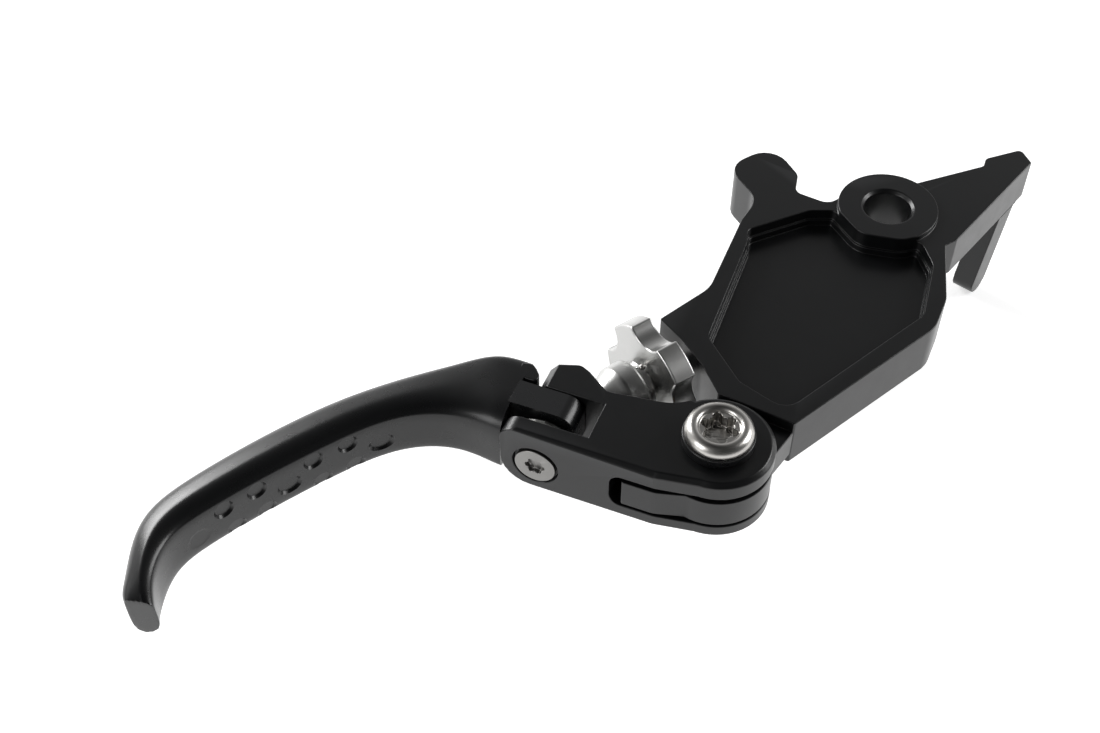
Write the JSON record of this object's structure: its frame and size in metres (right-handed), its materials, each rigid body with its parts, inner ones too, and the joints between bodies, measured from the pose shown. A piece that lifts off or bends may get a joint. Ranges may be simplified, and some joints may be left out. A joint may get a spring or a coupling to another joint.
{
  "type": "motorcycle clutch lever",
  "caption": "Folding, reach-adjustable lever: machined bracket with pivot bore and switch finger, forked carrier, star knob and curved finger blade.",
  "frame": {"origin": "centre of the bracket's pivot bore, half way along it", "axes": "+X from the blade's tip towards the bracket, which is inboard on the motorcycle; +Y towards the handlebar grip; +Z along the pivot bore on the side with the screw heads"},
  "size_m": [0.2165, 0.0736, 0.0391],
  "materials": {
    "black_anodised": "satin black anodised",
    "black_collar": "satin black anodised",
    "polished_aluminium": "turned and polished, clear anodised",
    "stainless": "turned stainless steel",
    "spring_steel": "bright drawn wire",
    "bronze": "sintered bronze"
  },
  "bodies": {
    "bracket": {"bracket": "black_anodised", "pivot_bush": "bronze"},
    "carrier": {"carrier": "black_anodised", "pivot_screw": "stainless", "pivot_collar": "black_collar", "pivot_nut": "stainless", "upper_thrust_washer": "bronze", "lower_thrust_washer": "bronze", "pivot_wave_washer": "spring_steel", "fold_screw": "stainless", "fold_washer": "stainless", "fold_spring": "spring_steel", "adjuster_barrel": "polished_aluminium", "knob_clip": "spring_steel", "detent_ball": "stainless", "detent_spring": "spring_steel"},
    "blade": {"blade": "black_anodised", "fold_bush": "bronze"},
    "knob": {"star_knob": "polished_aluminium"},
    "thrust_pin": {"thrust_pin": "stainless"}
  },
  "joints": [
    {"name": "carrier_reach", "type": "hinge", "parent": "bracket", "child": "carrier", "pos_m": [-0.07215, -0.0315, 0], "axis": [0, 0, 1], "range_deg": [-4.6, 4.6]},
    {"name": "knob_turn", "type": "hinge", "parent": "carrier", "child": "knob", "pos_m": [-0.0703, -0.0065, 0], "axis": [1, 0, 0], "range_deg": [-720, 720]},
    {"name": "thrust_pin_slide", "type": "slide", "parent": "carrier", "child": "thrust_pin", "axis": [1, 0, 0], "range_m": [-0.00201, 0.00201]},
    {"name": "blade_fold", "type": "hinge", "parent": "carrier", "child": "blade", "pos_m": [-0.09219, -0.00638, 0], "axis": [-0.8348, -0.5505, 0], "range_deg": [0, 85], "stiffness_Nm_per_rad": 0.03, "springref_deg": -28.65}
  ],
  "couplings": [
    {"joint": "carrier_reach", "follows": "knob_turn", "ratio": -0.0063662},
    {"joint": "thrust_pin_slide", "follows": "knob_turn", "m_per_rad": -0.00015915}
  ]
}
